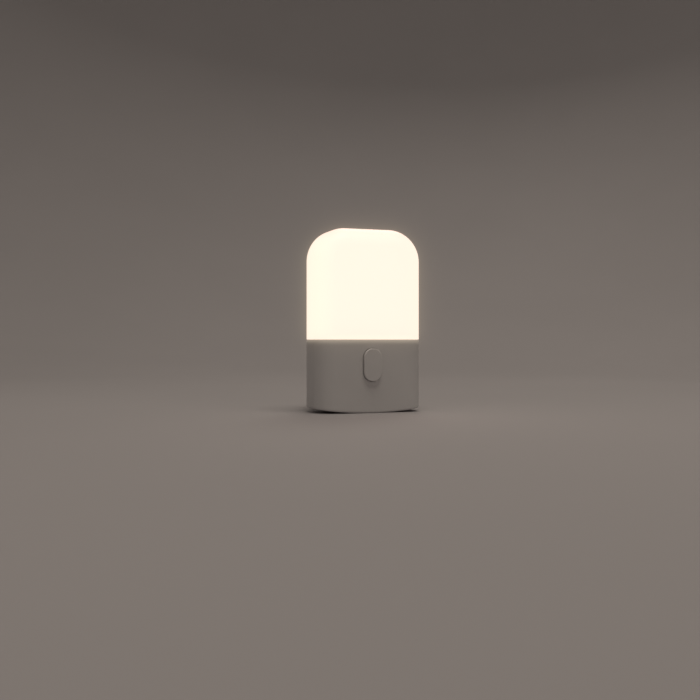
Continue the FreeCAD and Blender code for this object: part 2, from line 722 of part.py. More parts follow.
def fuse_sleeve():
    """Heat-shrink sleeve over the fusible resistor's body."""
    (left_x, z), (right_x, _) = wire_holes()["fuse_resistor"]
    length, outer_r, inner_r = FUSE_SLEEVE
    start = point((left_x + right_x - length) / 2, BOARD_BACK + FUSE_RISE, z)
    outer = Part.makeCylinder(outer_r, length, start, point(1, 0, 0))
    return outer.cut(Part.makeCylinder(inner_r, length, start, point(1, 0, 0)))


def package(size, x, z):
    """Moulded body of a surface-mount package on the board's back, with its edges bevelled."""
    wide, thick, tall = size
    low = BOARD_BACK + CHIP_GAP
    body = box((x - wide / 2, x + wide / 2), (low, low + thick), (z - tall / 2, z + tall / 2))
    return body.makeChamfer(CHIP_EDGE, body.Edges)


def bent_leg(thick):
    """The (y, outward) boxes of one leg: shoulder out of the package, drop to the board, and foot."""
    middle = BOARD_BACK + CHIP_GAP + thick / 2
    top = middle + LEG_THICK / 2
    shoulder = ((top - LEG_THICK, top), LEG_SHOULDER)
    drop = ((BOARD_BACK, top), LEG_DROP)
    foot = ((BOARD_BACK, BOARD_BACK + LEG_THICK), LEG_FOOT)
    return (shoulder, drop, foot)


def bridge_rectifier():
    """Rectifier with two legs on each side, left and right."""
    x, z = RECTIFIER_PLACE
    wide, thick, tall = RECTIFIER_SIZE
    pieces = [package(RECTIFIER_SIZE, x, z)]
    for leg_z in (z - tall / 4, z + tall / 4):
        for depth, (near, far) in bent_leg(thick):
            for side in (-1, 1):
                reach = sorted((x + side * (wide / 2 + near), x + side * (wide / 2 + far)))
                pieces.append(box(reach, depth, (leg_z - LEG_HALF, leg_z + LEG_HALF)))
    return joined(pieces)


def driver_chip():
    """Driver chip with four legs on each side, above and below."""
    x, z = CHIP_PLACE
    wide, thick, tall = CHIP_SIZE
    pieces = [package(CHIP_SIZE, x, z)]
    for number in range(CHIP_LEGS):
        leg_x = x + wide * ((number + 0.5) / CHIP_LEGS - 0.5)
        for depth, (near, far) in bent_leg(thick):
            for side in (-1, 1):
                reach = sorted((z + side * (tall / 2 + near), z + side * (tall / 2 + far)))
                pieces.append(box((leg_x - LEG_HALF, leg_x + LEG_HALF), depth, reach))
    return joined(pieces)


def chip_resistors():
    """A column of surface-mount resistors, each a separate solid."""
    depth = (BOARD_BACK, BOARD_BACK + RESISTOR_THICK)
    pieces = []
    for number in range(RESISTOR_COUNT):
        z = RESISTOR_FIRST_Z + RESISTOR_PITCH * number
        pieces.append(box(RESISTOR_X, depth, (z - RESISTOR_HALF, z + RESISTOR_HALF)))
    return Part.makeCompound(pieces)


def switch_base():
    """Plastic body of the push switch on the board's front, with the round well for its plunger."""
    half = SWITCH_SIZE / 2
    body = box((-half, half), (SWITCH_FRONT, BOARD_FRONT), (BUTTON_Z - half, BUTTON_Z + half))
    body = round_edges(body, SWITCH_CORNER, upright(SWITCH_DEPTH))
    return body.cut(rod(SWITCH_CAVITY_R, 0, (SWITCH_FRONT - 1, CAVITY_FLOOR), BUTTON_Z))


def switch_frame():
    """Thin steel plate over the switch body, with the hole for the plunger's stem."""
    half = SWITCH_SIZE / 2
    depth = (SWITCH_FRONT - FRAME_THICK, SWITCH_FRONT)
    plate = box((-half, half), depth, (BUTTON_Z - half, BUTTON_Z + half))
    plate = round_edges(plate, SWITCH_CORNER, upright(FRAME_THICK))
    return plate.cut(rod(PLUNGER_R + PLUNGER_PLAY, 0, (SWITCH_FRONT - 1, SWITCH_FRONT + 1), BUTTON_Z))


def switch_plunger():
    """Stem of the switch, with the wider foot that the steel plate keeps in."""
    stem = rod(PLUNGER_R, 0, (PLUNGER_FRONT, PLUNGER_BACK), BUTTON_Z)
    foot = rod(SWITCH_CAVITY_R - PLUNGER_PLAY, 0, (SWITCH_FRONT + DOME_SLACK, PLUNGER_BACK), BUTTON_Z)
    return joined([stem, foot])


def switch_dome():
    """Springy contact dome on the floor of the switch's well."""
    radius = (DOME_R ** 2 + DOME_RISE ** 2) / (2 * DOME_RISE)
    centre = point(0, CAVITY_FLOOR - DOME_RISE + radius, BUTTON_Z)
    shell = Part.makeSphere(radius, centre).cut(Part.makeSphere(radius - DOME_THICK, centre))
    return shell.common(rod(DOME_R, 0, (CAVITY_FLOOR - 2, CAVITY_FLOOR), BUTTON_Z))


def switch_terminals():
    """The switch's four bent legs, two on each side."""
    half = SWITCH_SIZE / 2
    legs = []
    for side in (-1, 1):
        drop_x = sorted((side * half, side * (half + TERMINAL_THICK)))
        foot_x = sorted((side * half, side * (half + TERMINAL_REACH)))
        for z in (BUTTON_Z - TERMINAL_Z, BUTTON_Z + TERMINAL_Z):
            rise = (z - TERMINAL_HALF, z + TERMINAL_HALF)
            drop = box(drop_x, (BOARD_FRONT - TERMINAL_DROP, BOARD_FRONT), rise)
            foot = box(foot_x, (BOARD_FRONT - TERMINAL_THICK, BOARD_FRONT), rise)
            legs.append(joined([drop, foot]))
    return Part.makeCompound(legs)


def led_plate(front, back):
    """A plate of the LED board's outline, with its upper corners rounded, between two depths."""
    half = LED_BOARD_WIDTH / 2
    plate = box((-half, half), (front, back), (LED_BOARD_LOW, LED_BOARD_TOP))

    is_upright = upright(back - front)
    plate = round_edges(
        plate, LED_BOARD_CORNER, lambda edge: is_upright(edge) and edge.BoundBox.ZMin > LED_BOARD_TOP - 1
    )
    screw_r = BOARD_SCREW[0] + BOARD_HOLE_PLAY
    return plate.cut([rod(screw_r, 0, (front - 1, back + 1), z) for z in (LED_SCREW_LOW, LED_SCREW_TOP)])


def led_places():
    """The (x, z) centres of the LEDs, in two columns."""
    rows = range(LED_ROWS)
    return [(side * LED_COLUMN_X, LED_FIRST_Z + LED_PITCH * row) for row in rows for side in (-1, 1)]


def leds():
    """The LED packages on the board's front, each a separate solid with a shallow well."""
    wide, deep, tall = LED_SIZE
    mouth_r, floor_r, well_depth = LED_WELL
    front = LED_BOARD_FRONT - deep
    pieces = []
    for x, z in led_places():
        body = box((x - wide / 2, x + wide / 2), (front, LED_BOARD_FRONT), (z - tall / 2, z + tall / 2))
        well = Part.makeCone(mouth_r, floor_r, well_depth, point(x, front, z), point(0, 1, 0))
        pieces.append(body.cut(well))
    return Part.makeCompound(pieces)


def reflector_sheet():
    """White film over the LED board, with a window for each LED."""
    sheet = led_plate(LED_BOARD_FRONT - REFLECTOR_THICK, LED_BOARD_FRONT)
    wide, _, tall = LED_SIZE
    windows = []
    for x, z in led_places():
        across = (x - wide / 2 - WINDOW_PLAY, x + wide / 2 + WINDOW_PLAY)
        rise = (z - tall / 2 - WINDOW_PLAY, z + tall / 2 + WINDOW_PLAY)
        windows.append(box(across, (LED_BOARD_FRONT - 1, LED_BOARD_FRONT + 1), rise))
    return sheet.cut(windows)


def cover_screws():
    """The two screws in the back cover."""
    seat = BACK_Y - COVER_SCREW[2] - HEAD_SINK
    places = (-COVER_SCREW_X, COVER_SCREW_X)
    screws = [screw(COVER_SCREW, x, seat, COVER_SCREW_Z, COVER_SCREW_LENGTH, -1) for x in places]
    return Part.makeCompound(screws)


def driver_screws():
    """The two screws that hold the driver board on its posts."""
    places = (-BOARD_POST_X, BOARD_POST_X)
    screws = [screw(BOARD_SCREW, x, BOARD_BACK, BOARD_POST_Z, DRIVER_SCREW_LENGTH, -1) for x in places]
    return Part.makeCompound(screws)


def led_board_screws():
    """The two screws that hold the LED board and its reflector on the back cover."""
    seat = LED_BOARD_FRONT - REFLECTOR_THICK
    places = (LED_SCREW_LOW, LED_SCREW_TOP)
    return Part.makeCompound([screw(BOARD_SCREW, 0, seat, z, LED_SCREW_LENGTH, 1) for z in places])


def retainer_screw():
    """The screw in the middle of the pin retainer."""
    return screw(COVER_SCREW, 0, RETAINER_BACK, 0, RETAINER_SCREW_LENGTH, 1)


def all_pieces():
    """Every piece by the name that a person would use for it."""
    pieces = {
        "diffuser": diffuser(),
        "front_housing": front_housing(),
        "button_cap": button_cap(),
        "back_cover": back_cover(),
        "cover_screws": cover_screws(),
        "pin_retainer": pin_retainer(),
        "retainer_screw": retainer_screw(),
        "live_lead": mains_lead(-1, *LIVE_END),
        "neutral_lead": mains_lead(1, *NEUTRAL_END),
        "led_lead_positive": led_lead(-1),
        "led_lead_negative": led_lead(1),
        "driver_board": driver_board(),
        "driver_screws": driver_screws(),
        "dropper_capacitor": dropper_capacitor(),
        "smoothing_capacitor": smoothing_capacitor(),
        "fuse_resistor": fuse_resistor(),
        "fuse_sleeve": fuse_sleeve(),
        "bridge_rectifier": bridge_rectifier(),
        "driver_chip": driver_chip(),
        "chip_resistors": chip_resistors(),
        "switch_base": switch_base(),
        "switch_frame": switch_frame(),
        "switch_plunger": switch_plunger(),
        "switch_dome": switch_dome(),
        "switch_terminals": switch_terminals(),
        "led_board": led_plate(LED_BOARD_FRONT, LED_BOARD_BACK),
        "leds": leds(),
        "reflector_sheet": reflector_sheet(),
        "led_board_screws": led_board_screws(),
    }
    for side, word in ((-1, "left"), (1, "right")):
        pieces["pin_" + word] = pin(side)
        pieces["pin_sleeve_" + word] = pin_sleeve(side)
        pieces["pin_tag_" + word] = pin_tag(side)
    return pieces


os.makedirs("parts", exist_ok=True)
for name, shape in all_pieces().items():
    shape.exportStep("parts/" + name + ".step")
    limits = shape.BoundBox
    print(name, len(shape.Solids), shape.isValid(), round(shape.Volume, 1), limits)
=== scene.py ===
import json
import logging
import math
from dataclasses import dataclass, field
from enum import Enum

import bpy
import numpy as np
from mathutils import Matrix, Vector


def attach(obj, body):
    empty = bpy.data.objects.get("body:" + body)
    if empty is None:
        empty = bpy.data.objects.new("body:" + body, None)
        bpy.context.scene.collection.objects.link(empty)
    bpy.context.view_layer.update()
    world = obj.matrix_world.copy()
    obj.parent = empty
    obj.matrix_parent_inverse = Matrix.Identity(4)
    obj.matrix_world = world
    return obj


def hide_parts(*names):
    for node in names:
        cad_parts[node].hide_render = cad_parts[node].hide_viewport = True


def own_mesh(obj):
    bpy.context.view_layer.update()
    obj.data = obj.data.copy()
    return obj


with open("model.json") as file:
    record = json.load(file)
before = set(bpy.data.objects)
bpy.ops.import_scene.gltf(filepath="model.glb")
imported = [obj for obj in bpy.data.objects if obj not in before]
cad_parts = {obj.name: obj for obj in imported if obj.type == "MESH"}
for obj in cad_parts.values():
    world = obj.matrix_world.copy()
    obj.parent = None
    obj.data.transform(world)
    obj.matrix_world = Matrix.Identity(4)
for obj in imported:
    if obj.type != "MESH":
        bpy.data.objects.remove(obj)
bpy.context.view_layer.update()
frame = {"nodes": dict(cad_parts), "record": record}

# Looks of a plug-in night light, in metres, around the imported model.
# X runs to the right as seen from the room, +Y into the wall, Z up.

MM = 0.001
BODY = "body"
Colour = tuple[float, float, float]
Point = tuple[float, float, float]
Range = tuple[float, float]

# A noise's values lie mostly in its middle range, which a ramp stretches to the whole one.
MIDDLE = (0.3, 0.7)
WHOLE = (0.0, 1.0)
BLACK = (0.0, 0.0, 0.0)

log = logging.getLogger("night_light")


class Space(Enum):
    """Where a pattern is read: straight from the part's frame, or stretched along one of its axes."""

    PLAIN = (1.0, 1.0, 1.0)
    DRAWN_ALONG_X = (0.06, 1.0, 1.0)
    DRAWN_ALONG_Y = (1.0, 0.06, 1.0)
    DRAWN_ALONG_Z = (1.0, 1.0, 0.06)


class Graph:
    """The node tree of one new material, with short ways to add and join its nodes."""

    def __init__(self, name: str) -> None:
        """Starts a material that has one Principled shader.

        Args:
            name: the material's name.
        """
        self.material = bpy.data.materials.new(name)
        self.material.use_nodes = True
        self.tree = self.material.node_tree
        self.shader = self.tree.nodes["Principled BSDF"]

    def node(self, kind: str, **settings: object) -> bpy.types.Node:
        """Adds a node.

        Args:
            kind: the node's type, without its "ShaderNode" prefix.
            settings: attributes of the node, set after it is added.

        Returns:
            The new node.
        """
        new = self.tree.nodes.new("ShaderNode" + kind)
        for key, value in settings.items():
            setattr(new, key, value)
        return new

    def join(self, source: bpy.types.NodeSocket, target: bpy.types.NodeSocket) -> None:
        """Links an output to an input."""
        self.tree.links.new(source, target)

    def set(self, **values: object) -> None:
        """Sets the shader's own sockets.

        Args:
            values: socket names with "_" for each space, and their values.
        """
        for key, value in values.items():
            self.shader.inputs[key.replace("_", " ")].default_value = value

    def place(self, space: Space = Space.PLAIN) -> bpy.types.NodeSocket:
        """Object coordinates, stretched as the space says.

        Args:
            space: the pattern's stretch.

        Returns:
            The vector output.
        """
        coordinates = self.node("TexCoord").outputs["Object"]
        if space is Space.PLAIN:
            return coordinates
        mapping = self.node("Mapping")
        mapping.inputs["Scale"].default_value = space.value
        self.join(coordinates, mapping.inputs["Vector"])
        return mapping.outputs["Vector"]

    def noise(self, size: float, detail: float = 2.0, space: Space = Space.PLAIN) -> bpy.types.NodeSocket:
        """Cloudy noise whose blobs are about size across.

        Args:
            size: the blobs' width in metres.
            detail: octaves of finer noise in it.
            space: the pattern's stretch.

        Returns:
            The noise from 0 to 1.
        """
        texture = self.node("TexNoise")
        texture.inputs["Scale"].default_value = 1.0 / size
        texture.inputs["Detail"].default_value = detail
        self.join(self.place(space), texture.inputs["Vector"])
        return texture.outputs["Fac"]

    def ramp(self, value: bpy.types.NodeSocket, source: Range, target: Range) -> bpy.types.NodeSocket:
        """A value moved smoothly from one range to another and held at its ends.

        Args:
            value: the output to read.
            source: the range that it has.
            target: the range that it gets.

        Returns:
            The new value.
        """
        ranged = self.node("MapRange", interpolation_type="SMOOTHSTEP")
        for name, number in zip(("From Min", "From Max", "To Min", "To Max"), source + target):
            ranged.inputs[name].default_value = number
        self.join(value, ranged.inputs["Value"])
        return ranged.outputs["Result"]

    def blend(
        self, factor: bpy.types.NodeSocket, first: Colour | bpy.types.NodeSocket, second: Colour
    ) -> bpy.types.NodeSocket:
        """Two colours mixed by a factor.

        Args:
            factor: 0 for the first colour, 1 for the second.
            first: linear red, green and blue, or the output of another node.
            second: linear red, green and blue.

        Returns:
            The mixed colour.
        """
        mix = self.node("Mix", data_type="RGBA")
        if isinstance(first, tuple):
            mix.inputs[6].default_value = (*first, 1.0)
        else:
            self.join(first, mix.inputs[6])
        mix.inputs[7].default_value = (*second, 1.0)
        self.join(factor, mix.inputs[0])
        return mix.outputs[2]

    def colour(self, colour: bpy.types.NodeSocket) -> None:
        """Joins a colour to the shader's base colour."""
        self.join(colour, self.shader.inputs["Base Color"])

    def polish(self, pattern: bpy.types.NodeSocket, source: Range, smoothest: float, dullest: float) -> None:
        """Lets a pattern move the roughness between two values.

        Args:
            pattern: the pattern's output.
            source: the range of the pattern that is used.
            smoothest: the roughness at the range's low end.
            dullest: the roughness at its high end.
        """
        self.join(self.ramp(pattern, source, (smoothest, dullest)), self.shader.inputs["Roughness"])

    def bump(self, height: bpy.types.NodeSocket, depth: float) -> None:
        """Lets a height from 0 to 1 raise the surface by depth.

        Args:
            height: the height pattern.
            depth: how much it raises the surface, in metres.
        """
        bump = self.node("Bump")
        bump.inputs["Distance"].default_value = depth
        self.join(height, bump.inputs["Height"])
        self.join(bump.outputs["Normal"], self.shader.inputs["Normal"])

    def math(
        self, operation: str, first: bpy.types.NodeSocket, second: bpy.types.NodeSocket | float = 0.0
    ) -> bpy.types.NodeSocket:
        """One operation on two values, or on a value and a number.

        Args:
            operation: the Math node's operation.
            first: the first value.
            second: the second value, or a number.

        Returns:
            The result.
        """
        node = self.node("Math", operation=operation)
        self.join(first, node.inputs[0])
        if isinstance(second, float):
            node.inputs[1].default_value = second
        else:
            self.join(second, node.inputs[1])
        return node.outputs["Value"]

    def axis(self, letter: str) -> bpy.types.NodeSocket:
        """The part's X, Y or Z coordinate."""
        split = self.node("SeparateXYZ")
        self.join(self.place(), split.inputs["Vector"])
        return split.outputs[letter]


@dataclass(frozen=True)
class MouldedPlastic:
    """Injection-moulded plastic: fine tool texture, faint clouds of shade and uneven gloss."""

    colour: Colour
    roughness: float = 0.5
    grain: float = 0.35 * MM
    relief: float = 0.012 * MM
    shade: float = 0.975
    gloss: float = 0.45
    cloud: float = 14 * MM
    patch: float = 5 * MM

    def make(self, name: str) -> bpy.types.Material:
        """Builds the material.

        Args:
            name: its name.

        Returns:
            The material.
        """
        graph = Graph(name)
        self.lay(graph)
        return graph.material

    def lay(self, graph: Graph) -> None:
        """Joins the plastic's colour, gloss and relief to a shader.

        Args:
            graph: the material's graph.
        """
        graph.set(Specular_IOR_Level=self.gloss)
        darker = tuple(channel * self.shade for channel in self.colour)
        clouds = graph.ramp(graph.noise(self.cloud, 3.0), MIDDLE, WHOLE)
        graph.colour(graph.blend(clouds, darker, self.colour))
        graph.polish(graph.noise(self.patch, 4.0), MIDDLE, self.roughness - 0.05, self.roughness + 0.06)
        graph.bump(graph.noise(self.grain, 3.0), self.relief)


@dataclass(frozen=True)
class PaintedGlowRim:
    """Moulded plastic with a painted glow along its upper rim, standing in for the cap's light spilling below
    the seam.
    """

    plastic: MouldedPlastic
    glow: Colour
    strength: float
    top: float
    depth: float

    def make(self, name: str) -> bpy.types.Material:
        """Builds the material. Down from the top the painted glow falls as the square of a smooth step over
        depth.

        Args:
            name: its name.

        Returns:
            The material.
        """
        graph = Graph(name)
        self.plastic.lay(graph)
        # Painted glow: emission on the housing plastic, standing in for the cap's light below the seam.
        graph.set(Emission_Strength=self.strength)
        share = graph.ramp(graph.axis("Z"), (self.top - self.depth, self.top), WHOLE)
        fall = graph.math("MULTIPLY", share, share)
        graph.join(graph.blend(fall, BLACK, self.glow), graph.shader.inputs["Emission Color"])
        return graph.material


@dataclass(frozen=True)
class GlowingCap:
    """Frosted plastic lit from behind: even warm white, with painted shade at its crown and at its back edge.
    """

    lit: Colour
    rim: Colour
    crown: Colour
    rear: Colour
    strength: float
    plastic: Colour
    half_width: float
    low: float
    top: float
    back: float
    roughness: float = 0.42
    gloss: float = 0.4
    side_depth: float = 10 * MM
    side_reach: float = 2 * MM
    foot_depth: float = 3 * MM
    crown_depth: float = 6 * MM
    rear_depth: float = 2.5 * MM
    share: float = 0.8
    cloud: float = 9 * MM
    paler: float = 1.05
    patch: float = 4 * MM
    grain: float = 0.25 * MM
    relief: float = 0.008 * MM

    def make(self, name: str) -> bpy.types.Material:
        """Builds the material. The glow's colour runs from lit to rim over the last millimetres of the width
        and down to the seam, to crown over the last of the height, a painted shade that offsets the highlight
        the lamps add there, and on to rear over the last of the depth, a painted shade where the back cover
        shades it.

        Args:
            name: its name.

        Returns:
            The material.
        """
        graph = Graph(name)
        graph.set(Emission_Strength=self.strength, Specular_IOR_Level=self.gloss)
        across = graph.math("ABSOLUTE", graph.axis("X"))
        side_range = (self.half_width - self.side_depth, self.half_width + self.side_reach)
        sides = graph.ramp(across, side_range, (0.0, self.share))
        foot = graph.ramp(graph.axis("Z"), (self.low, self.low + self.foot_depth), (self.share, 0.0))
        front = graph.blend(graph.math("MAXIMUM", sides, foot), self.lit, self.rim)
        # Painted shade: a deeper glow over the crown, offsetting the lamps' highlight there.
        painted_crown_shade = graph.ramp(graph.axis("Z"), (self.top - self.crown_depth, self.top), (0.0, self.share))
        # Painted shade: a deeper glow along the back edge, where the back cover shades it.
        painted_rear_shade = graph.ramp(graph.axis("Y"), (self.back - self.rear_depth, self.back), WHOLE)
        glow = graph.blend(painted_rear_shade, graph.blend(painted_crown_shade, front, self.crown), self.rear)
        graph.join(glow, graph.shader.inputs["Emission Color"])
        paler = tuple(channel * self.paler for channel in self.plastic)
        graph.colour(graph.blend(graph.noise(self.cloud), self.plastic, paler))
        graph.polish(graph.noise(self.patch), MIDDLE, self.roughness - 0.04, self.roughness + 0.05)
        graph.bump(graph.noise(self.grain, 3.0), self.relief)
        return graph.material


@dataclass(frozen=True)
class PlatedMetal:
    """Plated metal with drawn or turned marks along one direction, and duller patches."""

    colour: Colour
    roughness: float
    space: Space = Space.PLAIN
    line: float = 0.12 * MM
    relief: float = 0.002 * MM
    patch: float = 2.5 * MM
    duller: float = 0.86

    def make(self, name: str) -> bpy.types.Material:
        """Builds the material.

        Args:
            name: its name.

        Returns:
            The material.
        """
        graph = Graph(name)
        graph.set(Metallic=1.0)
        patches = graph.ramp(graph.noise(self.patch, 4.0), (0.35, 0.7), WHOLE)
        duller = tuple(channel * self.duller for channel in self.colour)
        graph.colour(graph.blend(patches, self.colour, duller))
        marks = graph.noise(self.line, 2.0, self.space)
        graph.polish(marks, (0.25, 0.75), self.roughness * 0.75, self.roughness * 1.35)
        graph.bump(marks, self.relief)
        return graph.material


@dataclass(frozen=True)
class Banded:
    """Lacquered or sleeved body with bands at set places along X."""

    ground: Colour
    band: Colour
    places: tuple[float, ...]
    half_band: float
    roughness: float = 0.32
    edge: float = 0.05 * MM
    patch: float = 1.5 * MM
    grain: float = 0.6 * MM
    relief: float = 0.01 * MM

    def make(self, name: str) -> bpy.types.Material:
        """Builds the material. A band shows where the distance to one of its places is under half_band.

        Args:
            name: its name.

        Returns:
            The material.
        """
        graph = Graph(name)
        graph.set(Coat_Weight=0.4, Coat_Roughness=0.15)
        along = graph.axis("X")
        nearest = None
        for place in self.places:
            away = graph.math("ABSOLUTE", graph.math("SUBTRACT", along, place))
            nearest = away if nearest is None else graph.math("MINIMUM", nearest, away)
        shown = graph.ramp(nearest, (self.half_band, self.half_band + self.edge), (1.0, 0.0))
        graph.colour(graph.blend(shown, self.ground, self.band))
        graph.polish(graph.noise(self.patch), MIDDLE, self.roughness - 0.06, self.roughness + 0.06)
        graph.bump(graph.noise(self.grain, 3.0), self.relief)
        return graph.material


@dataclass(frozen=True)
class SolderMask:
    """Lacquered circuit board: faint tracks under the lacquer and the weave of the glass cloth."""

    colour: Colour
    track: Colour
    pitch: float = 2.4 * MM
    track_share: float = 0.16
    run_share: float = 2.7
    weave: float = 0.5 * MM
    relief: float = 0.012 * MM

    def make(self, name: str) -> bpy.types.Material:
        """Builds the material. Tracks are the mortar lines of a brick pattern turned to the board's face.

        Args:
            name: its name.

        Returns:
            The material.
        """
        graph = Graph(name)
        graph.set(Roughness=0.34, Coat_Weight=0.35, Coat_Roughness=0.2)
        mapping = graph.node("Mapping")
        mapping.inputs["Rotation"].default_value = (math.radians(90), 0.0, 0.0)
        graph.join(graph.place(), mapping.inputs["Vector"])
        bricks = graph.node("TexBrick", offset=0.37, squash=1.4)
        bricks.inputs["Scale"].default_value = 1.0
        bricks.inputs["Mortar Size"].default_value = self.track_share * self.pitch
        bricks.inputs["Mortar Smooth"].default_value = 0.1
        bricks.inputs["Brick Width"].default_value = self.run_share * self.pitch
        bricks.inputs["Row Height"].default_value = self.pitch
        graph.join(mapping.outputs["Vector"], bricks.inputs["Vector"])
        graph.colour(graph.blend(bricks.outputs["Fac"], self.colour, self.track))
        graph.bump(graph.math("ADD", graph.noise(self.weave, 1.0), bricks.outputs["Fac"]), self.relief)
        return graph.material


@dataclass(frozen=True)
class Phosphor:
    """Yellow phosphor in clear resin, lit."""

    colour: Colour
    strength: float
    speck: float = 0.12 * MM
    grain: float = 0.2 * MM
    relief: float = 0.006 * MM

    def make(self, name: str) -> bpy.types.Material:
        """Builds the material. Its specks have less green and still less blue than the rest.

        Args:
            name: its name.

        Returns:
            The material.
        """
        graph = Graph(name)
        graph.set(Roughness=0.25, Emission_Strength=self.strength)
        specks = graph.ramp(graph.noise(self.speck), (0.35, 0.65), WHOLE)
        deeper = (self.colour[0], self.colour[1] * 0.85, self.colour[2] * 0.6)
        colour = graph.blend(specks, self.colour, deeper)
        graph.colour(colour)
        graph.join(colour, graph.shader.inputs["Emission Color"])
        graph.bump(graph.noise(self.grain), self.relief)
        return graph.material


# Painted shade: the housing and cover greys are darker than their white plastic, standing in for the dim room
# light.
HOUSING_COLOUR = (0.66, 0.655, 0.655)
COVER_COLOUR = (0.65, 0.645, 0.645)
INNER_COLOUR = (0.86, 0.85, 0.80)
HALF_WIDTH = 25 * MM
SEAM = 19 * MM
TOP = 68.5 * MM
BACK = -21 * MM

FINISHES = {
    "frosted_cap": GlowingCap(
        lit=(1.0, 0.752, 0.668),
        rim=(1.0, 0.835, 0.705),
        # crown and rear are painted shade: crown offsets the lamps' highlight, rear stands for the back cover's
        # shade.
        crown=(1.0, 0.70, 0.61),
        rear=(0.86, 0.67, 0.50),
        strength=0.97,
        plastic=(0.36, 0.34, 0.29),
        half_width=HALF_WIDTH,
        low=SEAM,
        top=TOP,
        back=BACK,
    ),
    # The housing carries a painted glow along its upper rim, for the cap's light below the seam.
    "housing": PaintedGlowRim(
        MouldedPlastic(HOUSING_COLOUR, roughness=0.5),
        glow=(1.0, 0.82, 0.62),
        strength=0.16,
        top=SEAM,
        depth=3.2 * MM,
    ),
    "button": MouldedPlastic(HOUSING_COLOUR, roughness=0.4, grain=0.25 * MM, relief=0.006 * MM),
    "cover": MouldedPlastic(COVER_COLOUR, roughness=0.55, grain=0.45 * MM, relief=0.02 * MM),
    "sleeve": MouldedPlastic(COVER_COLOUR, roughness=0.42, relief=0.006 * MM),
    "inner_plastic": MouldedPlastic(INNER_COLOUR, roughness=0.45),
    "white_film": MouldedPlastic((0.92, 0.92, 0.90), roughness=0.6, relief=0.004 * MM, shade=0.97),
    "black_package": MouldedPlastic((0.035, 0.035, 0.04), roughness=0.55, grain=0.1 * MM, shade=0.8),
    "film_capacitor": MouldedPlastic((0.66, 0.40, 0.06), roughness=0.35, relief=0.006 * MM, shade=0.9),
    "shrink_sleeve": MouldedPlastic((0.03, 0.03, 0.03), roughness=0.5, grain=0.8 * MM, relief=0.03 * MM),
    "lead_brown": MouldedPlastic((0.19, 0.08, 0.035), roughness=0.38, relief=0.004 * MM),
    "lead_blue": MouldedPlastic((0.03, 0.13, 0.42), roughness=0.38, relief=0.004 * MM),
    "lead_red": MouldedPlastic((0.50, 0.03, 0.025), roughness=0.38, relief=0.004 * MM),
    "lead_black": MouldedPlastic((0.02, 0.02, 0.022), roughness=0.38, relief=0.004 * MM, shade=0.8),
    "pin_metal": PlatedMetal((0.66, 0.645, 0.60), 0.22, Space.DRAWN_ALONG_Y),
    "screw_steel": PlatedMetal((0.58, 0.58, 0.57), 0.3),
    "switch_steel": PlatedMetal((0.62, 0.62, 0.60), 0.28, Space.DRAWN_ALONG_X),
    "tag_brass": PlatedMetal((0.72, 0.53, 0.22), 0.3, Space.DRAWN_ALONG_Z),
    "board": SolderMask((0.02, 0.13, 0.045), (0.05, 0.24, 0.08)),
    "white_board": SolderMask((0.84, 0.84, 0.81), (0.90, 0.90, 0.88), 4.0 * MM),
    "capacitor_can": Banded((0.03, 0.032, 0.05), (0.45, 0.46, 0.50), (14.6 * MM,), 0.7 * MM),
    "resistor": Banded((0.24, 0.40, 0.50), (0.42, 0.20, 0.05), (-11.2 * MM, -9.9 * MM, -8.2 * MM), 0.3 * MM),
    "led": Phosphor((0.95, 0.80, 0.42), 0.6),
}


def grid_faces(rows: int, columns: int, wrap: bool) -> np.ndarray:
    """Quads of a grid of points, counted row by row.

    Args:
        rows: the number of rows of points.
        columns: the number of points in a row.
        wrap: whether the last column joins the first.

    Returns:
        An array with the four point numbers of each quad.
    """
    row, column = np.meshgrid(np.arange(rows - 1), np.arange(columns if wrap else columns - 1), indexing="ij")
    after = (column + 1) % columns
    here, above = row * columns, (row + 1) * columns
    return np.stack((here + column, here + after, above + after, above + column), axis=-1).reshape(-1, 4)


def turned(profile: np.ndarray, centre: Point, sides: int, way: float) -> tuple[np.ndarray, np.ndarray]:
    """A profile turned about a line along Y. Each point is the centre, plus the profile's radius times the
    cosine and sine of the angle in X and Z, plus its height times way in Y. The profile starts and ends on the
    line, so its first and last rows close into one point each.

    Args:
        profile: radius and height of each point, starting and ending at radius 0.
        centre: the foot of the line.
        sides: the number of points round it.
        way: +1 or -1, the side of the foot on which the heights are.

    Returns:
        The points and the quads of the closed surface, with its faces outward.
    """
    angle = np.arange(sides) * (2 * math.pi / sides)
    inner = profile[1:-1]
    x = centre[0] + np.outer(inner[:, 0], np.cos(angle))
    z = centre[2] + np.outer(inner[:, 0], np.sin(angle))
    y = centre[1] + way * np.repeat(inner[:, 1:2], sides, axis=1)
    ring = np.stack((x, y, z), axis=-1).reshape(-1, 3)
    poles = np.array([(centre[0], centre[1] + way * end, centre[2]) for end in (profile[0, 1], profile[-1, 1])])
    points = np.vstack((ring, poles))
    quads = grid_faces(len(inner), sides, True)
    here = np.arange(sides)
    after = (here + 1) % sides
    last = (len(inner) - 1) * sides
    first_cap = np.stack((np.full(sides, len(ring)), after, here, here), axis=1)
    last_cap = np.stack((np.full(sides, len(ring) + 1), last + here, last + after, last + after), axis=1)
    faces = np.vstack((quads, first_cap, last_cap))
    return points, faces if way > 0 else faces[:, ::-1]


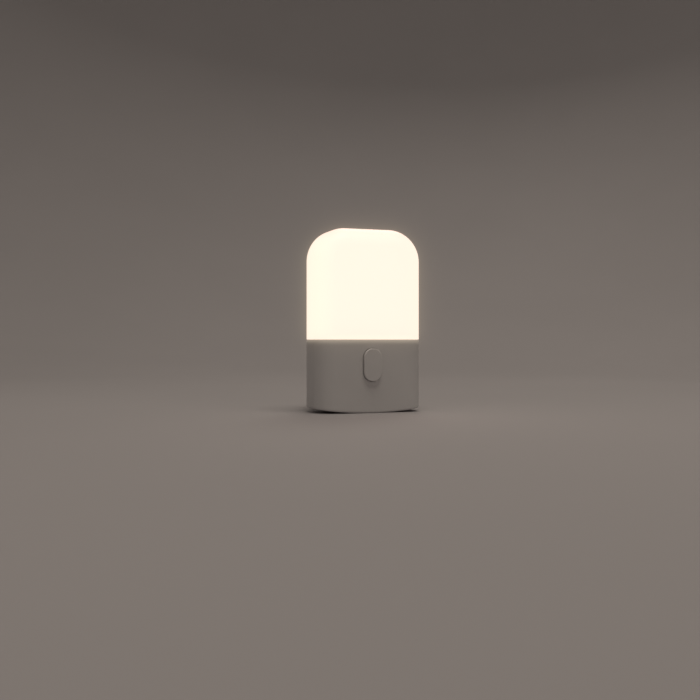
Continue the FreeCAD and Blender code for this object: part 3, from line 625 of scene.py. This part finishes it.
def new_mesh(name: str, parts: list[tuple[np.ndarray, np.ndarray]]) -> bpy.types.Object:
    """One smooth mesh object from several point and face arrays. Its object sits at the origin, and quads
    that name a point twice become triangles.

    Args:
        name: the object's name.
        parts: the points and the quads of each part.

    Returns:
        The new object, linked to the scene.
    """
    points, faces, start = [], [], 0
    for some_points, some_faces in parts:
        points.append(some_points)
        faces.append(some_faces + start)
        start += len(some_points)
    all_faces = [tuple(dict.fromkeys(face)) for face in np.vstack(faces).tolist()]
    mesh = bpy.data.meshes.new(name)
    mesh.from_pydata(np.vstack(points).tolist(), [], all_faces)
    mesh.validate()
    mesh.polygons.foreach_set("use_smooth", np.ones(len(mesh.polygons), dtype=bool))
    mesh.update()
    made = bpy.data.objects.new(name, mesh)
    bpy.context.scene.collection.objects.link(made)
    return made


def finish_piece(piece: bpy.types.Object, slot: str, materials: dict[str, bpy.types.Material]) -> None:
    """Gives a new piece the material of its slot, and its body.

    Args:
        piece: the new object.
        slot: the record's material slot.
        materials: the material of each slot.
    """
    piece.data.materials.append(materials[slot])
    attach(piece, BODY)
    log.info("%s: %d faces, slot %s", piece.name, len(piece.data.polygons), slot)


@dataclass
class SwitchDome:
    """The springy steel dome under the push switch's plunger, which flattens as the button goes in; here it is
    built at rest only.
    """

    radius: float = 2.2 * MM
    rise: float = 0.68 * MM
    thickness: float = 0.1 * MM
    floor: Point = (0.0, -32.0 * MM, 7.8 * MM)
    rings: int = 14
    sides: int = 48
    kept: float = 0.18

    def build(self, materials: dict[str, bpy.types.Material]) -> bpy.types.Object:
        """Turns a cosine arch about the plunger's line: the height falls as half of one plus the cosine of the
        radius, from the rise in the middle to nothing at the rim, and the inside runs one thickness under it.

        Args:
            materials: the material of each slot.

        Returns:
            The dome.
        """
        share = np.linspace(0.0, 1.0, self.rings)
        arch = (self.rise - self.thickness) * (1 + np.cos(math.pi * share)) / 2
        outside = np.stack((share * self.radius, arch + self.thickness), axis=1)
        inside = np.stack((share[::-1] * self.radius, arch[::-1]), axis=1)
        profile = np.vstack((outside, inside))[::-1]
        points, faces = turned(profile, self.floor, self.sides, -1.0)
        dome = new_mesh("contact_dome", [(points, faces)])
        finish_piece(dome, "switch_steel", materials)
        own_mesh(dome)
        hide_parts("switch_dome")
        return dome


@dataclass
class SolderJoints:
    """Solder fillets round the wires on the driver board's front, and beads where the leads end on its back.

    Wires and leads are given in millimetres: X and Z, and the radius of a lead.
    """

    front: float = -31.0 * MM
    back: float = -29.4 * MM
    wires: tuple[tuple[float, float], ...] = (
        (-14.5, 1.2), (-4.5, 1.2), (2.4, -5.2), (2.4, -7.2), (-14.8, 6.9), (-4.2, 6.9),
    )
    leads: tuple[tuple[float, float, float], ...] = (
        (-9.6, 3.3, 0.8), (12.2, 4.0, 0.8), (-1.7, 12.4, 0.6), (1.7, 12.4, 0.6),
    )
    foot: float = 0.85 * MM
    height: float = 1.0 * MM
    neck: float = 0.32 * MM
    bead_foot: float = 0.5
    bead_neck: float = 0.05
    bead_height: float = 0.45 * MM
    tip: float = 1.06
    shoulder: float = 1.04
    steps: int = 9
    sides: int = 24

    def fillet(self, foot: float, neck: float, height: float) -> np.ndarray:
        """A hollow cone's profile: the radius falls from foot to neck as the square of the height still to go.

        Args:
            foot: the radius on the board.
            neck: the radius at the top.
            height: the height of the top.

        Returns:
            Radius and height of each point, from the top's middle to the foot's middle.
        """
        share = np.linspace(1.0, 0.0, self.steps)
        radius = neck + (foot - neck) * (1 - share) ** 2
        cone = np.stack((radius, share * height), axis=1)
        cap = np.array([(0.0, height * self.tip), (neck * 0.7, height * self.shoulder)])
        return np.vstack((cap, cone, [(0.0, 0.0)]))[::-1]

    def build(self, materials: dict[str, bpy.types.Material]) -> bpy.types.Object:
        """Builds every joint as one mesh.

        Args:
            materials: the material of each slot.

        Returns:
            The joints.
        """
        parts = []
        on_wire = self.fillet(self.foot, self.neck, self.height)
        for x, z in self.wires:
            parts.append(turned(on_wire, (x * MM, self.front, z * MM), self.sides, -1.0))
        for x, z, radius in self.leads:
            bead = self.fillet((radius + self.bead_foot) * MM, (radius + self.bead_neck) * MM, self.bead_height)
            parts.append(turned(bead, (x * MM, self.back, z * MM), self.sides, 1.0))
        joints = new_mesh("solder_joints", parts)
        finish_piece(joints, "switch_steel", materials)
        return joints


@dataclass
class PhosphorFill:
    """The domed phosphor in each LED's well."""

    columns: tuple[float, ...] = (-10.0, 10.0)
    rows: tuple[float, ...] = (27.0, 37.0, 47.0, 57.0)
    floor: float = -28.12 * MM
    radius: float = 0.94 * MM
    depth: float = 0.27 * MM
    crown: float = 0.08 * MM
    steps: int = 7
    sides: int = 32

    def build(self, materials: dict[str, bpy.types.Material]) -> bpy.types.Object:
        """Turns a shallow lens for each LED: a straight wall up to depth, then a crown that falls as the square
        of the radius.

        Args:
            materials: the material of each slot.

        Returns:
            The fills.
        """
        share = np.linspace(0.0, 1.0, self.steps)
        lens = np.stack((share * self.radius, self.depth + self.crown * (1 - share ** 2)), axis=1)
        profile = np.vstack((lens, [(self.radius, 0.0), (0.0, 0.0)]))[::-1]
        wells = [(x * MM, self.floor, z * MM) for x in self.columns for z in self.rows]
        parts = [turned(profile, well, self.sides, -1.0) for well in wells]
        fill = new_mesh("led_phosphor", parts)
        finish_piece(fill, "led", materials)
        return fill


@dataclass
class Viewpoint:
    """The camera, at the left of the light and a little above its foot, looking level."""

    place: Point = (-0.1411, -0.4156, 0.0186)
    turn: float = 19.16
    lens: float = 46.8
    rise: float = -0.0138

    def build(self) -> None:
        """Makes the camera and sets it as the scene's."""
        data = bpy.data.cameras.new("camera")
        data.lens = self.lens
        data.shift_y = self.rise
        data.clip_start = 0.005
        data.clip_end = 20.0
        camera = bpy.data.objects.new("camera", data)
        camera.location = self.place
        camera.rotation_euler = (math.radians(90), 0.0, -math.radians(self.turn))
        bpy.context.scene.collection.objects.link(camera)
        bpy.context.scene.camera = camera


@dataclass(frozen=True)
class SoftBox:
    """One large soft lamp."""

    name: str
    place: Point
    power: float
    width: float
    colour: Colour

    def build(self, aim: Point) -> None:
        """Makes the lamp.

        Args:
            aim: the point that it faces.
        """
        data = bpy.data.lights.new(self.name, "AREA")
        data.energy = self.power
        data.size = self.width
        data.color = self.colour
        lamp = bpy.data.objects.new(self.name, data)
        lamp.location = self.place
        lamp.rotation_euler = (Vector(aim) - Vector(self.place)).to_track_quat("-Z", "Y").to_euler()
        lamp.visible_camera = False
        bpy.context.scene.collection.objects.link(lamp)


WARM = (1.0, 0.90, 0.78)


@dataclass
class Studio:
    """Pale floor that sweeps up into a round wall, soft lamps, dim even air light and the lens's bloom."""

    floor_z: float = -13.5 * MM
    flat: float = 0.4
    sweep: float = 0.9
    wall: float = 1.5
    inner_ring: float = 0.3
    steps: int = 24
    sides: int = 96
    pale: Colour = (0.44, 0.422, 0.432)
    cloud: float = 0.25
    shade: float = 0.97
    aim: Point = (0.0, -0.03, 0.03)
    air: Colour = (1.0, 0.93, 0.85)
    air_strength: float = 0.055
    bloom_from: float = 0.3
    bloom_strength: float = 0.25
    bloom_size: float = 0.05
    bloom_tint: Colour = (1.0, 1.0, 0.75)
    lamps: tuple[SoftBox, ...] = (
        SoftBox("key", (0.50, -0.62, 0.80), 0.25, 0.6, WARM),
        SoftBox("fill", (-0.62, -0.45, 0.50), 0.15, 0.6, WARM),
        SoftBox("top", (0.03, -0.33, 1.20), 4.9, 0.6, WARM),
        SoftBox("rear", (0.35, 0.55, 0.90), 1.7, 0.5, WARM),
    )

    def build(self) -> None:
        """Builds the sweep, the lamps, the world and the view settings."""
        self.build_sweep()
        for lamp in self.lamps:
            lamp.build(self.aim)
        world = bpy.data.worlds.new("air")
        world.use_nodes = True
        background = world.node_tree.nodes["Background"]
        background.inputs["Color"].default_value = (*self.air, 1.0)
        background.inputs["Strength"].default_value = self.air_strength
        scene = bpy.context.scene
        scene.world = world
        scene.view_settings.view_transform = "Standard"
        scene.view_settings.look = "None"
        self.build_bloom(scene)

    def build_bloom(self, scene: bpy.types.Scene) -> None:
        """Spreads a little of the brightest light round it, as a lens does.

        Args:
            scene: the scene whose picture is finished so.
        """
        scene.use_nodes = True
        tree = scene.node_tree
        tree.nodes.clear()
        layers = tree.nodes.new("CompositorNodeRLayers")
        glare = tree.nodes.new("CompositorNodeGlare")
        picture = tree.nodes.new("CompositorNodeComposite")
        glare.glare_type = "BLOOM"
        glare.inputs["Threshold"].default_value = self.bloom_from
        glare.inputs["Strength"].default_value = self.bloom_strength
        glare.inputs["Size"].default_value = self.bloom_size
        glare.inputs["Tint"].default_value = (*self.bloom_tint, 1.0)
        tree.links.new(layers.outputs["Image"], glare.inputs["Image"])
        tree.links.new(glare.outputs["Image"], picture.inputs["Image"])

    def build_sweep(self) -> None:
        """Turns the floor's profile about Z: flat to its edge, a quarter circle up, then a straight wall."""
        bend = np.linspace(0.0, math.pi / 2, self.steps)
        curve = self.flat + self.sweep * np.sin(bend)
        radius = np.concatenate(([0.0, self.inner_ring], curve, [self.flat + self.sweep]))
        height = np.concatenate(([0.0, 0.0], self.sweep * (1 - np.cos(bend)), [self.wall]))
        angle = np.arange(self.sides) * (2 * math.pi / self.sides)
        x = np.outer(radius, np.cos(angle))
        y = np.outer(radius, np.sin(angle))
        z = np.repeat(height[:, None] + self.floor_z, self.sides, axis=1)
        points = np.stack((x, y, z), axis=-1).reshape(-1, 3)
        floor = new_mesh("floor", [(points, grid_faces(len(radius), self.sides, True)[:, ::-1])])
        graph = Graph("pale_floor")
        graph.set(Roughness=0.85, Specular_IOR_Level=0.2)
        clouds = graph.ramp(graph.noise(self.cloud, 3.0), MIDDLE, WHOLE)
        darker = tuple(channel * self.shade for channel in self.pale)
        graph.colour(graph.blend(clouds, darker, self.pale))
        floor.data.materials.append(graph.material)


@dataclass
class NightLight:
    """The whole light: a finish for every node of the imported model, and the pieces added to it."""

    pieces: tuple[type, ...] = (SwitchDome, SolderJoints, PhosphorFill)
    materials: dict[str, bpy.types.Material] = field(default_factory=dict)

    def dress(self) -> None:
        """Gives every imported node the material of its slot."""
        self.materials = {slot: finish.make(slot) for slot, finish in FINISHES.items()}
        for part in frame["record"]["subparts"]:
            node = frame["nodes"][part["node"]]
            node.data.materials.clear()
            node.data.materials.append(self.materials[part["material_slot"]])
            log.info("%s: %d faces, slot %s", node.name, len(node.data.polygons), part["material_slot"])

    def build(self) -> None:
        """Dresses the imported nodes, then builds the added pieces in order."""
        self.dress()
        for piece in self.pieces:
            piece().build(self.materials)


def main() -> None:
    """Builds the camera, the light and the studio."""
    logging.basicConfig(level=logging.INFO, format="%(name)s %(message)s")
    Viewpoint().build()
    NightLight().build()
    Studio().build()


if __name__ == "__main__":
    main()
